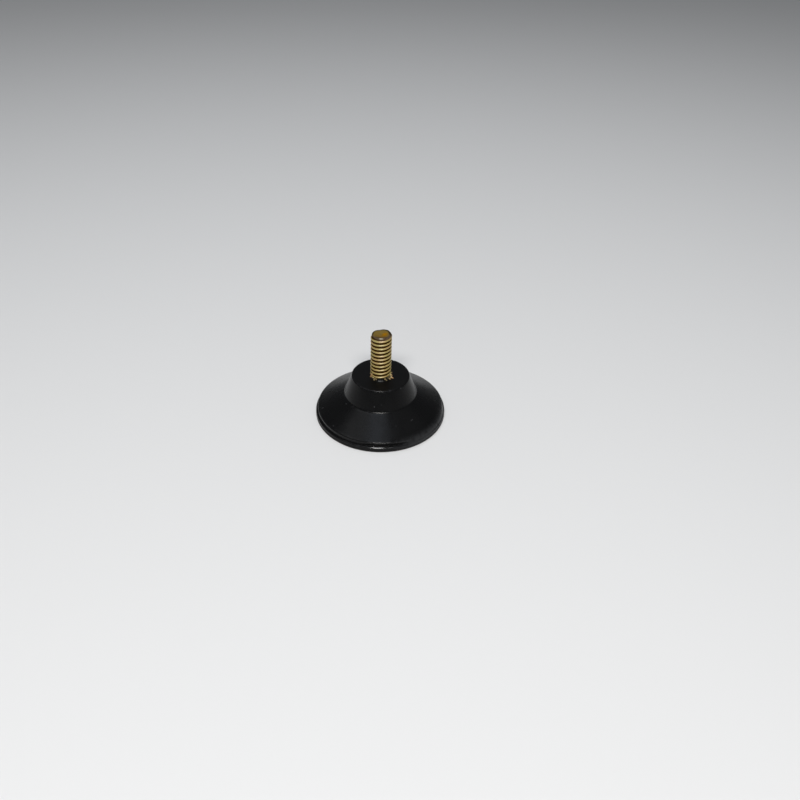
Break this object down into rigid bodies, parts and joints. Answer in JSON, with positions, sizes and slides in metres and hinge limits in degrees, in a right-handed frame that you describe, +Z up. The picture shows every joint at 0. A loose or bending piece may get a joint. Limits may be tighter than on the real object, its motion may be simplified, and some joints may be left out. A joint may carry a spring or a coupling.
{
  "type": "rubber foot",
  "caption": "Round black rubber foot with a sloping flange, a stepped lip and a tapered boss, moulded round a plated hex bolt whose thread stands up as the mounting stud.",
  "frame": {"origin": "centre of the face that the foot stands on", "axes": "+Z up along the stud; X and Y lie in the floor and are interchangeable"},
  "size_m": [0.0405, 0.0404, 0.029],
  "materials": {
    "black_rubber": "satin",
    "yellow_zinc": "satin"
  },
  "bodies": {
    "root": {"rubber_body": "black_rubber", "threaded_stud": "yellow_zinc"}
  },
  "joints": []
}
